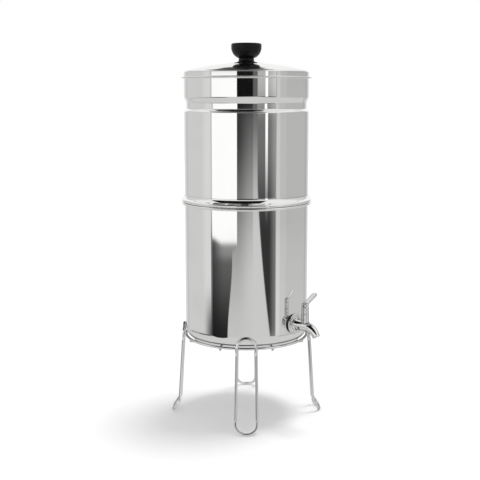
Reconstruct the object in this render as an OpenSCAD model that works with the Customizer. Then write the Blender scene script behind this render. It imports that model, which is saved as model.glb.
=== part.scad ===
// Gravity water filter: two stacked steel chambers with a lid and knob, on a
// bent-wire stand, with a plug tap. The floor is z = 0, the vessel axis is Z,
// and the tap stands between the front (-Y) and the right (+X).

/* [Chambers] */
// Outside diameter of both chambers
body_d = 222; // [200:1:240]
// Thickness of the steel sheet
wall_t = 1; // [0.8:0.1:1.4]
// Height of the lower chamber from base to rim
lower_h = 245.5; // [220:0.5:300]
// Height of the upper chamber above the seam
upper_h = 219; // [200:1:280]
// How far the rims, the bead and the lid's lip stand out from the wall
rim_out = 6; // [5:0.5:14]
// Height of the rounded corner at the lower chamber's base
base_corner_h = 22; // [12:1:28]
// How far that corner runs in from the wall
base_corner_run = 12; // [8:1:24]
// Height of the rolled rim of the lower chamber
rim_roll = 4; // [3:0.5:6]
// Height of the upper chamber's bead
bead_h = 6.4; // [5:0.2:9]
// Height over which the wall flares into the bead
flare_h = 8.5; // [6:0.5:14]
// Depth by which the upper chamber's foot stands in the lower one
nest_depth = 22; // [16:1:30]
// Depth of the groove below the lid
groove_depth = 4; // [2:0.5:6]
// Height of the groove's narrow band
groove_band = 11; // [8:1:20]
// Distance from the upper rim down to the groove's slope
groove_drop = 32; // [24:1:44]

/* [Lid] */
// Height of the lid's upright band
band_h = 12.5; // [8:0.5:18]
// Rise of the lid's dome
dome_rise = 14; // [8:1:22]
// Diameter of the flat raised seat under the knob
seat_d = 62; // [50:1:80]
// Height of that seat above the dome at its edge
seat_rise = 1; // [0.5:0.1:2]
// Depth by which the skirt drops into the upper chamber
skirt_drop = 8; // [5:1:14]
// Height of the knob
knob_h = 34.5; // [28:0.5:45]
// Diameter of the knob's bowl
knob_d = 56.5; // [44:0.5:66]
// Diameter of the knob's neck
knob_neck_d = 27; // [20:0.5:32]
// Diameter of the knob's foot
knob_foot_d = 40; // [32:1:44]
// Diameter of the knob's screw
knob_screw_d = 5; // [4:0.5:6]

/* [Stand] */
// Height of the ring's centreline above the floor
ring_h = 145.5; // [120:0.5:180]
// How far the ring's centreline lies inside the wall
ring_inset = 1; // [-2:0.5:4]
// Diameter of the ring's wire and of the cross wires
wire_d = 4.5; // [4:0.1:5]
// Diameter of the leg wire
leg_wire_d = 4.8; // [4:0.1:5.5]
// Distance between a leg's two wires
leg_w = 34; // [26:0.2:44]
// How much wider a leg is at its foot than at its arch
leg_flare = 3; // [0:0.2:6]
// Rise of a leg's arch above the ring
arch_rise = 18.2; // [18:0.2:24]
// Outward step of a leg below the ring
kink_step = 1.2; // [0:0.2:5]
// Outward lean of a leg between its kink and its ankle
leg_splay = 7; // [0:0.5:12]
// Height of the ankle
ankle_h = 20; // [18:0.5:26]
// Reach of the foot beyond the ankle
foot_reach = 13; // [10:0.5:20]
// Distance between two parallel cross wires
cross_pitch = 90.8; // [60:0.2:120]

/* [Tap] */
// Direction of the tap round the vessel, from +X towards +Y
tap_turn = -42; // [-90:5:0]
// Height of the tap's axis above the base of the lower chamber
tap_rise = 37.5; // [34:0.5:80]
// Distance from the wall to the plug's axis
plug_reach = 25.8; // [24:0.1:34]
// Outside diameter of the tap's pipe at the flange
root_d = 18.8; // [17:0.1:20]
// Outside diameter of the tap's pipe in its bend
pipe_d = 16; // [15:0.1:17]
// Diameter of the water way
flow_d = 9; // [7:0.1:9.4]
// Bend radius of the spout
spout_bend_r = 23; // [16:1:28]
// Angle through which the spout turns down
spout_turn = 62; // [40:1:75]
// Length of the spout's nozzle
nozzle_l = 4; // [3:0.5:10]
// Outside diameter of the nozzle's mouth
nozzle_d = 13; // [12:0.1:14]
// Diameter of the tap's flange
flange_d = 35.5; // [30:0.5:42]
// Thickness of the flange
flange_t = 3; // [2:0.5:5]
// Thickness of each rubber washer on the wall
tap_washer_t = 2; // [1.5:0.5:4]
// Outside diameter of the threaded shank
shank_d = 14.4; // [13:0.1:14.8]
// Length of the shank inside the wall
shank_l = 18; // [15:1:26]
// Outside diameter of the upright barrel
barrel_d = 13.4; // [13:0.1:15]
// Height of the barrel above the tap's axis
barrel_h = 22; // [18:0.5:28]
// Diameter of the plug
plug_d = 10; // [9.6:0.1:10.4]
// Height of the bonnet
bonnet_h = 13; // [8:0.5:18]
// Length of the lever
lever_l = 33; // [28:1:50]
// Width of the lever at its tip
lever_w = 11.5; // [8:0.5:13]
// Thickness of the lever
lever_t = 4; // [2.4:0.1:5]
// Angle of the lever above the horizontal
lever_lean = 27; // [20:1:60]

/* [Filters] */
// Distance between the two filter candles
candle_pitch = 100; // [70:1:110]
// Diameter of a candle
candle_d = 52; // [40:1:56]
// Length of a candle above its cap
candle_l = 165; // [120:1:172]
// Height of a candle's cap
cap_h = 14; // [10:1:18]
// Diameter of the stems and of the blanking plugs' shanks
stem_d = 9.4; // [8:0.1:11]
// Distance between the two blanked holes
blank_pitch = 104; // [96:1:130]

/* [Hidden] */
$fn = 72;

// Clearances
seat_gap = 0.2; // between pieces that rest on each other
weld_sink = 0.35; // depth by which welded wires sink into each other
lean_gap = 0.4; // between a leg's arch and the wall
nest_gap = 0.8; // round the upper chamber's foot
skirt_gap = 0.3; // round the lid's skirt
turn_gap = 0.05; // round the turning plug
snug_gap = 0.02; // round a fixed shaft
hole_gap = 0.2; // round a shank in sheet

// Heights of the stack
body_r = body_d / 2;
rim_r = body_r + rim_out;
cross_z = ring_h - wire_d + weld_sink;
base_z = cross_z + wire_d / 2 + seat_gap;
lower_rim_z = base_z + lower_h;
seam_z = lower_rim_z + seat_gap;
upper_rim_z = seam_z + upper_h;
lid_z = upper_rim_z + seat_gap;
dome_z = lid_z + band_h;
lid_corner_r = 3;
dome_edge_r = body_r - lid_corner_r;
dome_r = (pow(dome_edge_r, 2) + pow(dome_rise, 2)) / (2 * dome_rise);
dome_slope = asin(dome_edge_r / dome_r);
seat_run = 3; // run of the slope round the knob's seat
apex_z = dome_height(seat_d / 2) + seat_rise;
knob_z = apex_z + seat_gap;

// Stand
ring_r = body_r - ring_inset;
weld_r = ring_r + wire_d / 2 + leg_wire_d / 2 - weld_sink;
arch_r = max(body_r + leg_wire_d / 2 + lean_gap, weld_r - kink_step);
kink_drop = 5;
kink_bend_r = 6;
ankle_bend_r = 7;
cross_z_low = cross_z - wire_d + weld_sink;
cross_bend_r = 6;
joggle_run = 7;
nub = 1.6; // length of a cross wire beyond the ring's centreline

// Rims
rim_edge_r = rim_roll / 2;
upper_lip_r = body_r + 4;
groove_top_slope = 11;
groove_low_slope = 4;
foot_r = body_r - wall_t - nest_gap;
foot_corner_r = 6;
floor_z = seam_z - nest_depth;

// Lid
knob_washer_t = 1.5;
knob_washer_d = 18;
knob_screw_l = 20;
knob_screw_head_d = 2 * knob_screw_d;
knob_screw_head_h = 3.5;

// Tap, measured along its own X from the vessel axis
tap_z = base_z + tap_rise;
flange_x = body_r + tap_washer_t;
shoulder_x = flange_x + flange_t;
plug_x = body_r + plug_reach;
bend_x = plug_x + 2.8;
bend_step = 0.3; // by which the spout's bend is slimmer than the pipe that leads to it
bend_lap = 1; // by which the straight pipe runs on over the bend
inner_seat_x = body_r - wall_t - tap_washer_t;
shank_end_x = body_r - shank_l;
tap_washer_d = 26;
tap_nut_t = 6;
tap_nut_af = 24;
collar_d = root_d + 2.6;
collar_l = 2.5;
barrel_top = tap_z + barrel_h;
bonnet_top = barrel_top + bonnet_h;
plug_low = tap_z - flow_d / 2 - 1;
plug_top = barrel_top - 0.3;
port_d = 6.5;
plug_stem_d = 6;
seal_d = 1.4;
seal_groove_w = 1.8;
seal_r = plug_d / 2 + turn_gap - seal_d / 2 - snug_gap;
seal_groove_r = seal_r - seal_d / 2 - snug_gap;
seal_heights = [tap_z + 0.45 * barrel_h, tap_z + 0.8 * barrel_h];
hub_d = barrel_d - 1;
hub_z = bonnet_top + 0.4;
hub_h = 4.6;
hub_floor = 1.4; // metal between the stem's socket and the hub's top
lever_root_w = 0.75 * lever_w;
lever_rest = 90; // the lever lies across the flow while the tap is shut
tap_screw_d = 3;
tap_screw_l = 9;
tap_screw_head_d = 5.6;
tap_screw_head_h = 1.8;

// Filters
hole_d = stem_d + 2 * hole_gap;
washer_t = 2.5;
washer_d = stem_d + 14;
candle_cap_d = candle_d + 5;
stem_below = 22; // length of a stem below the floor
stem_bore_d = 4;
wing_hub_d = stem_d + 6;
wing_h = 8;
wing_span = 34;
wing_t = 3;
plug_head_d = 22;
plug_head_h = 4;
blank_nut_af = 15;
blank_nut_t = 5;
blank_below = 12;
candle_places = [[candle_pitch / 2, 0], [-candle_pitch / 2, 0]];
blank_places = [[0, blank_pitch / 2], [0, -blank_pitch / 2]];

// Points of an arc in a plane, from one angle to another
function arc(centre, r, from, to, steps = 8) =
    [for (k = [0:steps]) let (a = from + (to - from) * k / steps) centre + r * [cos(a), sin(a)]];

// Points of a quarter of an oval, the same way
function oval(centre, across, up, from, to, steps = 8) =
    [for (p = arc([0, 0], 1, from, to, steps)) centre + [p.x * across, p.y * up]];

function unit(v) = v / norm(v);

// Points round one bend of a wire
function bend_points(before, at, after, r, steps) =
    let (u = unit(at - before), w = unit(after - at), turn = acos(u * w),
        side = unit(w - u * (u * w)), centre = at - u * r * tan(turn / 2) + side * r)
    [for (k = [0:steps]) let (a = turn * k / steps) centre - side * r * cos(a) + u * r * sin(a)];

// Drops a point that repeats the one before it
function spaced(p, closed) =
    [for (i = [0:len(p) - 1])
        if ((i == 0 && !closed) || norm(p[i] - p[(i + len(p) - 1) % len(p)]) > 0.01) p[i]];

// Centreline of a closed wire through corner points, each with its own bend
function closed_wire(corners, bends, steps) =
    let (n = len(corners))
    spaced([for (i = [0:n - 1])
        each bend_points(corners[(i + n - 1) % n], corners[i], corners[(i + 1) % n], bends[i], steps[i])], true);

// Centreline of an open wire through corner points that share one bend
function open_wire(corners, r, steps) =
    let (last = len(corners) - 1)
    spaced([corners[0],
        for (i = [1:last - 1]) each bend_points(corners[i - 1], corners[i], corners[i + 1], r, steps),
        corners[last]], false);

function tangent(p, i, closed) =
    let (n = len(p), back = closed || i > 0, on = closed || i < n - 1,
        before = back ? unit(p[i] - p[(i + n - 1) % n]) : [0, 0, 0],
        after = on ? unit(p[(i + 1) % n] - p[i]) : [0, 0, 0])
    unit(before + after);

// A round wire along a centreline; lean is a direction that the wire never follows
module wire(p, d, lean, closed, sides = 10) {
    n = len(p);
    rings = closed ? n : n - 1;
    points = [for (i = [0:n - 1])
        let (t = tangent(p, i, closed), a = unit(cross(t, lean)), b = cross(a, t))
        for (k = [0:sides - 1]) p[i] + d / 2 * (a * cos(360 * k / sides) + b * sin(360 * k / sides))];
    skin = [for (i = [0:rings - 1], k = [0:sides - 1])
        let (j = (i + 1) % n, m = (k + 1) % sides)
        each [[i * sides + k, j * sides + k, j * sides + m], [i * sides + k, j * sides + m, i * sides + m]]];
    ends = closed ? [] : [[for (k = [0:sides - 1]) k], [for (k = [sides - 1:-1:0]) (n - 1) * sides + k]];
    polyhedron(points, concat(skin, ends));
}

// ---- stand

module stand_ring() {
    color("gainsboro") translate([0, 0, ring_h]) rotate_extrude() translate([ring_r, 0]) circle(d = wire_d);
}

// Half length of a cross wire that ends under the ring
function cross_half() = sqrt(pow(ring_r, 2) - pow(cross_pitch / 2, 2)) + nub;

module cross_wires_long() {
    color("gainsboro") for (side = [-1, 1])
        translate([side * cross_pitch / 2, 0, cross_z]) rotate([90, 0, 0])
            cylinder(d = wire_d, h = 2 * cross_half(), center = true);
}

// These pass under the long wires and rise to the ring at both ends
module cross_wires_wide() {
    half = cross_half();
    high_x = half - 4 * wire_d;
    low_x = high_x - joggle_run;
    color("gainsboro") for (side = [-1, 1]) {
        y = side * cross_pitch / 2;
        corners = [[-half, y, cross_z], [-high_x, y, cross_z], [-low_x, y, cross_z_low],
            [low_x, y, cross_z_low], [high_x, y, cross_z], [half, y, cross_z]];
        wire(open_wire(corners, cross_bend_r, 3), wire_d, [0, 1, 0], false, 8);
    }
}

// One closed loop: arch on the wall, weld at the ring, kink, straight shin, ankle and foot
module leg() {
    kink_r = weld_r + kink_step;
    ankle_r = kink_r + leg_splay;
    half = [[arch_r, ring_h + arch_rise], [weld_r, ring_h - kink_drop], [kink_r, ring_h - 2 * kink_drop],
        [ankle_r, ankle_h], [ankle_r + foot_reach, leg_wire_d / 2]];
    half_w = [leg_w, leg_w, leg_w, leg_w + leg_flare, leg_w + leg_flare] / 2;
    half_bends = [half_w[0], kink_bend_r, kink_bend_r, ankle_bend_r, half_w[4]];
    half_steps = [6, 2, 2, 3, 6];
    order = [0, 1, 2, 3, 4, 4, 3, 2, 1, 0];
    corners = [for (i = [0:9]) [(i < 5 ? 1 : -1) * half_w[order[i]], -half[order[i]].x, half[order[i]].y]];
    color("gainsboro") wire(
        closed_wire(corners, [for (i = order) half_bends[i]], [for (i = order) half_steps[i]]),
        leg_wire_d, [0, 1, 0], true);
}

module leg_front() { leg(); }
module leg_right() { rotate([0, 0, 90]) leg(); }
module leg_back() { rotate([0, 0, 180]) leg(); }
module leg_left() { rotate([0, 0, 270]) leg(); }

// ---- lower chamber

module lower_chamber() {
    inner_r = body_r - wall_t;
    corner = [body_r - base_corner_run, base_z + base_corner_h];
    roll = [rim_r - rim_edge_r, lower_rim_z - rim_edge_r];
    roll_in_r = body_r + wall_t;
    profile = concat(
        [[0, base_z]],
        oval(corner, base_corner_run, base_corner_h, -90, 0, 10),
        [[body_r, lower_rim_z - 2.2 * rim_roll]],
        arc([roll_in_r, roll.y - rim_edge_r - wall_t], wall_t, 180, 90, 3),
        arc(roll, rim_edge_r, -90, 90, 8),
        arc([roll_in_r, lower_rim_z - 2 * wall_t], 2 * wall_t, 90, 180, 4),
        oval(corner, base_corner_run - wall_t, base_corner_h - wall_t, 0, -90, 10),
        [[0, base_z + wall_t]]);
    color("silver") difference() {
        rotate_extrude() polygon(profile);
        in_tap_frame() translate([body_r - 10, 0, tap_z]) rotate([0, 90, 0]) cylinder(d = shank_d + 2 * hole_gap, h = 20);
    }
}

// ---- tap

module in_tap_frame() {
    rotate([0, 0, tap_turn]) children();
}

// A bar along the tap's axis from one distance to another, which may taper
module tap_bar(from, to, d, end_d = 0) {
    translate([from, 0, tap_z]) rotate([0, 90, 0]) cylinder(d1 = d, d2 = end_d > 0 ? end_d : d, h = to - from);
}

// The curved stretch of the spout, d wide, with a nozzle that goes from d1 to d2
module spout_bend(d, d1, d2, extra = 0) {
    translate([bend_x, 0, tap_z - spout_bend_r]) rotate([0, spout_turn, 0]) {
        rotate([90, 0, 0]) rotate([0, 0, 90]) rotate_extrude(angle = spout_turn)
            translate([spout_bend_r, 0]) circle(d = d);
        translate([0, 0, spout_bend_r]) rotate([0, 90, 0]) cylinder(d1 = d1, d2 = d2, h = nozzle_l + extra);
    }
}

module tap_body() {
    color("gainsboro") in_tap_frame() difference() {
        union() {
            tap_bar(shank_end_x, shoulder_x, shank_d);
            tap_bar(shoulder_x, shoulder_x + collar_l, collar_d);
            tap_bar(shoulder_x, bend_x + bend_lap, root_d, pipe_d);
            spout_bend(pipe_d - bend_step, pipe_d - bend_step, nozzle_d);
            translate([plug_x, 0, tap_z]) cylinder(d = barrel_d, h = barrel_h);
        }
        tap_bar(shank_end_x - 1, bend_x + bend_lap, flow_d);
        spout_bend(flow_d - bend_step, flow_d, flow_d, 1);
        translate([plug_x, 0, plug_low - 0.3]) cylinder(d = plug_d + 2 * turn_gap, h = barrel_h * 2);
    }
}

module tap_flange() {
    edge = 1.2;
    color("silver") in_tap_frame() translate([flange_x, 0, tap_z]) rotate([0, 90, 0])
        rotate_extrude() polygon(concat(
            [[shank_d / 2 + hole_gap, 0]],
            [[flange_d / 2, 0]],
            arc([flange_d / 2 - edge, edge], edge, 0, 75, 4),
            [[collar_d / 2, flange_t], [shank_d / 2 + hole_gap, flange_t]]));
}

module tap_outer_washer() {
    color("dimgray") in_tap_frame() difference() {
        tap_bar(body_r - 4, flange_x, tap_washer_d);
        tap_bar(body_r - 5, flange_x + 1, shank_d + 2 * hole_gap);
        translate([0, 0, tap_z - tap_washer_d]) cylinder(r = body_r, h = 2 * tap_washer_d, $fn = 240);
    }
}

module tap_inner_washer() {
    color("dimgray") in_tap_frame() intersection() {
        difference() {
            tap_bar(inner_seat_x, body_r, tap_washer_d);
            tap_bar(inner_seat_x - 1, body_r + 1, shank_d + 2 * hole_gap);
        }
        translate([0, 0, tap_z - tap_washer_d]) cylinder(r = body_r - wall_t, h = 2 * tap_washer_d, $fn = 240);
    }
}

module tap_nut() {
    color("silver") in_tap_frame() translate([inner_seat_x - tap_nut_t, 0, tap_z]) rotate([0, 90, 0]) difference() {
        cylinder(d = tap_nut_af / cos(30), h = tap_nut_t, $fn = 6);
        translate([0, 0, -1]) cylinder(d = shank_d + 2 * turn_gap, h = tap_nut_t + 2);
    }
}

module tap_bonnet() {
    chamfer = 0.8;
    r = barrel_d / 2 - 0.3;
    bore_r = plug_stem_d / 2 + turn_gap;
    color("silver") in_tap_frame() translate([plug_x, 0, barrel_top]) rotate_extrude()
        polygon([[bore_r, 0], [r - 0.4, 0], [r, 0.4], [r, bonnet_h - chamfer], [r - chamfer, bonnet_h],
            [bore_r, bonnet_h]]);
}

module tap_plug() {
    stem_top = hub_z + hub_h - hub_floor;
    color("silver") in_tap_frame() translate([plug_x, 0, 0]) difference() {
        union() {
            translate([0, 0, plug_low]) cylinder(d = plug_d, h = plug_top - plug_low);
            translate([0, 0, plug_low]) cylinder(d = plug_stem_d, h = stem_top - plug_low);
        }
        translate([0, 0, tap_z]) rotate([90, 0, 0]) cylinder(d = port_d, h = 2 * plug_d, center = true);
        for (z = seal_heights) translate([0, 0, z - seal_groove_w / 2]) difference() {
            cylinder(d = plug_d + 2, h = seal_groove_w);
            translate([0, 0, -1]) cylinder(r = seal_groove_r, h = seal_groove_w + 2);
        }
        translate([0, 0, stem_top - tap_screw_l]) cylinder(d = tap_screw_d + 2 * snug_gap, h = tap_screw_l + 1);
    }
}

module tap_plug_seals() {
    color("black") in_tap_frame() for (z = seal_heights)
        translate([plug_x, 0, z]) rotate_extrude() translate([seal_r, 0]) circle(d = seal_d, $fn = 24);
}

// Hub on the plug's stem with a slanted lever that widens to a round tip
module tap_handle() {
    tip = [lever_l - lever_w / 2, 0];
    outline = concat([[0, -lever_root_w / 2]], arc(tip, lever_w / 2, -84, 84, 10), [[0, lever_root_w / 2]]);
    chamfer = 1;
    color("silver") in_tap_frame() translate([plug_x, 0, hub_z]) difference() {
        union() {
            rotate_extrude() polygon([[0, 0], [hub_d / 2, 0], [hub_d / 2, hub_h - chamfer],
                [hub_d / 2 - chamfer, hub_h], [0, hub_h]]);
            translate([0, 0, hub_h / 2]) rotate([0, -lever_lean, lever_rest]) translate([0, 0, -lever_t / 2])
                linear_extrude(lever_t) polygon(outline);
        }
        translate([0, 0, -1]) cylinder(d = plug_stem_d + 2 * snug_gap, h = hub_h - hub_floor + 1 + snug_gap);
        cylinder(d = tap_screw_d + 2 * hole_gap, h = hub_h + 1);
        translate([0, 0, hub_h]) cylinder(d = tap_screw_head_d + 2 * hole_gap, h = lever_l);
    }
}

module tap_handle_screw() {
    color("dimgray") in_tap_frame() translate([plug_x, 0, hub_z + hub_h]) union() {
        translate([0, 0, snug_gap]) cylinder(d = tap_screw_head_d, h = tap_screw_head_h);
        translate([0, 0, -tap_screw_l]) cylinder(d = tap_screw_d, h = tap_screw_l + 1);
    }
}

// ---- upper chamber

module upper_chamber() {
    bead_r = bead_h / 2;
    bead = [rim_r - 0.3 - bead_r, seam_z + bead_r];
    flare_z = seam_z + bead_h + flare_h;
    groove_z = upper_rim_z - groove_drop;
    band_z = groove_z - groove_top_slope - groove_band;
    inner_r = body_r - wall_t;
    profile = concat(
        [[0, floor_z]],
        arc([foot_r - foot_corner_r, floor_z + foot_corner_r], foot_corner_r, -90, 0, 6),
        [[foot_r, seam_z]],
        arc(bead, bead_r, -90, 60, 8),
        arc([body_r + 3, flare_z + 1], 3, 222, 180, 3),
        [[body_r, band_z - groove_low_slope],
        [body_r - groove_depth, band_z],
        [body_r - groove_depth, band_z + groove_band],
        [body_r - 0.75 * groove_depth, band_z + groove_band + 0.25 * groove_top_slope],
        [body_r - 0.2 * groove_depth, groove_z - 0.25 * groove_top_slope],
        [body_r, groove_z],
        [body_r, upper_rim_z - 2 * wall_t],
        [upper_lip_r - wall_t / 2, upper_rim_z - wall_t],
        [upper_lip_r, upper_rim_z - wall_t / 2],
        [upper_lip_r - wall_t / 2, upper_rim_z],
        [inner_r + 0.5 * wall_t, upper_rim_z],
        [inner_r, upper_rim_z - wall_t],
        [inner_r, groove_z],
        [inner_r - 0.2 * groove_depth, groove_z - 0.25 * groove_top_slope],
        [inner_r - 0.75 * groove_depth, band_z + groove_band + 0.25 * groove_top_slope],
        [inner_r - groove_depth, band_z + groove_band],
        [inner_r - groove_depth, band_z],
        [inner_r, band_z - groove_low_slope],
        [inner_r, flare_z]],
        arc(bead, bead_r - wall_t, 80, -60, 6),
        [[foot_r - wall_t, seam_z]],
        arc([foot_r - foot_corner_r, floor_z + foot_corner_r], foot_corner_r - wall_t, 0, -90, 6),
        [[0, floor_z + wall_t]]);
    color("silver") difference() {
        rotate_extrude() polygon(profile);
        for (place = concat(candle_places, blank_places))
            translate([place.x, place.y, floor_z - 1]) cylinder(d = hole_d, h = wall_t + 2);
    }
}

// Places children on the chamber floor at each position, or under it
module on_floor(places) {
    for (place = places) translate([place.x, place.y, floor_z + wall_t]) children();
}

module under_floor(places) {
    for (place = places) translate([place.x, place.y, floor_z]) children();
}

module floor_washers(places, d) {
    on_floor(places) difference() {
        cylinder(d = d, h = washer_t);
        translate([0, 0, -1]) cylinder(d = hole_d, h = washer_t + 2);
    }
    under_floor(places) translate([0, 0, -washer_t]) difference() {
        cylinder(d = d - 4, h = washer_t);
        translate([0, 0, -1]) cylinder(d = hole_d, h = washer_t + 2);
    }
}

module filter_candles() {
    top_r = candle_d / 2;
    color("ivory") on_floor(candle_places) translate([0, 0, washer_t + cap_h]) rotate_extrude() polygon(concat(
        [[0, 0], [top_r, 0]], arc([0, candle_l - top_r], top_r, 0, 90, 10)));
}

module filter_caps() {
    r = candle_cap_d / 2;
    color("whitesmoke") on_floor(candle_places) translate([0, 0, washer_t]) difference() {
        rotate_extrude() polygon([[0, 0], [r - 9, 0], [r - 2, 4], [r, 6], [r, cap_h + 2], [r - 1, cap_h + 3],
            [candle_d / 2 + 0.1, cap_h + 3], [candle_d / 2 + 0.1, cap_h - 0.05], [0, cap_h - 0.05]]);
        translate([0, 0, -1]) cylinder(d = stem_d + 2 * snug_gap, h = cap_h / 2 + 1);
    }
}

module filter_stems() {
    color("whitesmoke") under_floor(candle_places) translate([0, 0, -stem_below]) difference() {
        cylinder(d = stem_d, h = stem_below + wall_t + washer_t + cap_h / 2 - snug_gap);
        translate([0, 0, -1]) cylinder(d = stem_bore_d, h = stem_below + wall_t + washer_t + cap_h / 2 + 2);
    }
}

module filter_washers() {
    color("dimgray") floor_washers(candle_places, washer_d);
}

module filter_wing_nuts() {
    color("whitesmoke") under_floor(candle_places) translate([0, 0, -washer_t - seat_gap - wing_h]) difference() {
        union() {
            cylinder(d = wing_hub_d, h = wing_h);
            rotate([90, 0, 0]) linear_extrude(wing_t, center = true) polygon(concat(
                [[-wing_hub_d / 4, wing_h - 1], [-wing_hub_d / 4, 1], [wing_hub_d / 4, 1]],
                arc([wing_span / 2 - 4, 0], 4, -60, 60, 6), [[wing_hub_d / 4, wing_h - 1]]));
            rotate([90, 0, 180]) linear_extrude(wing_t, center = true) polygon(concat(
                [[-wing_hub_d / 4, wing_h - 1], [-wing_hub_d / 4, 1], [wing_hub_d / 4, 1]],
                arc([wing_span / 2 - 4, 0], 4, -60, 60, 6), [[wing_hub_d / 4, wing_h - 1]]));
        }
        translate([0, 0, -1]) cylinder(d = stem_d + 2 * turn_gap, h = wing_h + 2);
    }
}

module blanking_plugs() {
    color("whitesmoke") on_floor(blank_places) {
        translate([0, 0, washer_t]) rotate_extrude() polygon([[0, 0], [plug_head_d / 2, 0],
            [plug_head_d / 2, plug_head_h - 1], [plug_head_d / 2 - 1, plug_head_h], [0, plug_head_h]]);
        translate([0, 0, -wall_t - blank_below]) cylinder(d = stem_d, h = blank_below + wall_t + washer_t + 1);
    }
}

module blanking_washers() {
    color("dimgray") floor_washers(blank_places, plug_head_d - 1);
}

module blanking_nuts() {
    color("whitesmoke") under_floor(blank_places) translate([0, 0, -washer_t - seat_gap - blank_nut_t]) difference() {
        cylinder(d = blank_nut_af / cos(30), h = blank_nut_t, $fn = 6);
        translate([0, 0, -1]) cylinder(d = stem_d + 2 * turn_gap, h = blank_nut_t + 2);
    }
}

// ---- lid

function dome_height(x) = dome_z + dome_rise - dome_r + sqrt(pow(dome_r, 2) - pow(x, 2));

// Points up the dome's slope to the foot of the seat, for its outer or inner radius
function dome_points(r, steps) =
    let (top_slope = asin((seat_d / 2 + seat_run) / dome_r))
    [for (k = [0:steps]) let (a = dome_slope + (top_slope - dome_slope) * k / steps)
        [r * sin(a), dome_z + dome_rise - dome_r + r * cos(a)]];

module lid_shell() {
    inner_r = body_r - wall_t;
    outside = concat(
        [[inner_r, lid_z], [rim_r - wall_t / 2, lid_z], [rim_r, lid_z + wall_t / 2],
        [rim_r - wall_t / 2, lid_z + wall_t], [body_r, lid_z + 1.5 * wall_t]],
        arc([body_r - lid_corner_r, dome_z - lid_corner_r], lid_corner_r, 0, 90 - dome_slope, 5),
        dome_points(dome_r, 10),
        [[seat_d / 2, apex_z], [0, apex_z]]);
    inside = concat(
        arc([body_r - lid_corner_r, dome_z - lid_corner_r], lid_corner_r - wall_t, 0, 90 - dome_slope, 5),
        dome_points(dome_r - wall_t, 10),
        [[seat_d / 2 - 0.4 * wall_t, apex_z - wall_t], [0, apex_z - wall_t]]);
    color("silver") difference() {
        rotate_extrude() polygon(concat(outside, [for (i = [len(inside) - 1:-1:0]) inside[i]]));
        translate([0, 0, dome_z]) cylinder(d = knob_screw_d + 2 * hole_gap, h = 2 * dome_rise);
    }
}

// Hoop inside the band that drops into the upper chamber
module lid_skirt() {
    r = body_r - wall_t - skirt_gap;
    color("silver") translate([0, 0, lid_z - skirt_drop]) difference() {
        cylinder(r = r, h = skirt_drop + band_h - 2 * lid_corner_r);
        translate([0, 0, -1]) cylinder(r = r - wall_t, h = skirt_drop + band_h + 2);
    }
}

// Turned knob: flared foot, waist, bowl and a slightly crowned top
module knob() {
    foot = knob_foot_d / 2;
    neck = knob_neck_d / 2;
    bowl = knob_d / 2;
    neck_z = 0.29 * knob_h;
    rim_z = 0.88 * knob_h;
    foot_sweep = foot - neck - 1;
    color("black") translate([0, 0, knob_z]) difference() {
        rotate_extrude() polygon(concat(
            [[0, 0], [foot, 0], [foot, 1.2]],
            [for (k = [1:6]) let (a = 90 * k / 6) [neck + foot_sweep * (1 - sin(a)), 1.2 + (neck_z - 1.2) * (1 - cos(a))]],
            [for (k = [1:10]) let (a = 90 * k / 10) [neck + (bowl - neck) * sin(a), rim_z - (rim_z - neck_z) * cos(a)]],
            arc([bowl - 2.4, knob_h - 3.2], 2.4, 10, 78, 4),
            [[0, knob_h]]));
        translate([0, 0, -1]) cylinder(d = knob_screw_d + 2 * snug_gap, h = knob_screw_l);
    }
}

module knob_washer() {
    z = apex_z - wall_t - seat_gap - knob_washer_t;
    color("silver") translate([0, 0, z]) difference() {
        cylinder(d = knob_washer_d, h = knob_washer_t);
        translate([0, 0, -1]) cylinder(d = knob_screw_d + 2 * hole_gap, h = knob_washer_t + 2);
    }
}

module knob_screw() {
    z = apex_z - wall_t - 2 * seat_gap - knob_washer_t;
    color("silver") translate([0, 0, z]) {
        translate([0, 0, -knob_screw_head_h]) cylinder(d = knob_screw_head_d, h = knob_screw_head_h);
        translate([0, 0, -1]) cylinder(d = knob_screw_d, h = knob_screw_l - 2);
    }
}

stand_ring();
cross_wires_long();
cross_wires_wide();
leg_front();
leg_right();
leg_back();
leg_left();
lower_chamber();
tap_body();
tap_flange();
tap_outer_washer();
tap_inner_washer();
tap_nut();
tap_bonnet();
tap_plug();
tap_plug_seals();
tap_handle();
tap_handle_screw();
upper_chamber();
filter_candles();
filter_caps();
filter_stems();
filter_washers();
filter_wing_nuts();
blanking_plugs();
blanking_washers();
blanking_nuts();
lid_shell();
lid_skirt();
knob();
knob_washer();
knob_screw();
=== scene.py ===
import math
import bpy
from mathutils import Matrix, Vector


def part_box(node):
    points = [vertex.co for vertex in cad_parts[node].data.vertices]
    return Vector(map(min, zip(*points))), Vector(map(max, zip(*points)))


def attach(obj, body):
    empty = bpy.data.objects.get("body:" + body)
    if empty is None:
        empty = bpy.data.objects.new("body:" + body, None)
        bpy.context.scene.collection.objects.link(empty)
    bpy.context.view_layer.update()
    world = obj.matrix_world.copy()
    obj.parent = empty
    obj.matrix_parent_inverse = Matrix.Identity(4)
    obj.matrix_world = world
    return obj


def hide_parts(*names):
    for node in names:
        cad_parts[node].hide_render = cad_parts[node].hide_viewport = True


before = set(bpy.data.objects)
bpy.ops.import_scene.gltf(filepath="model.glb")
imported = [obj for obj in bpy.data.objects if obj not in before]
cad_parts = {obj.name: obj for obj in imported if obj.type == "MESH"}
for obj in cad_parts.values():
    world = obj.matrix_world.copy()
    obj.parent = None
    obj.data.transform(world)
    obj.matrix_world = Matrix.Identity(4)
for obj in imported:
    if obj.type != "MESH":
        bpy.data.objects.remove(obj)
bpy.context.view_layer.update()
print("frame loaded:", len(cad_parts), "CAD nodes")

# Sizes below are in millimetres, as in part.scad
mm = 0.001


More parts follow.
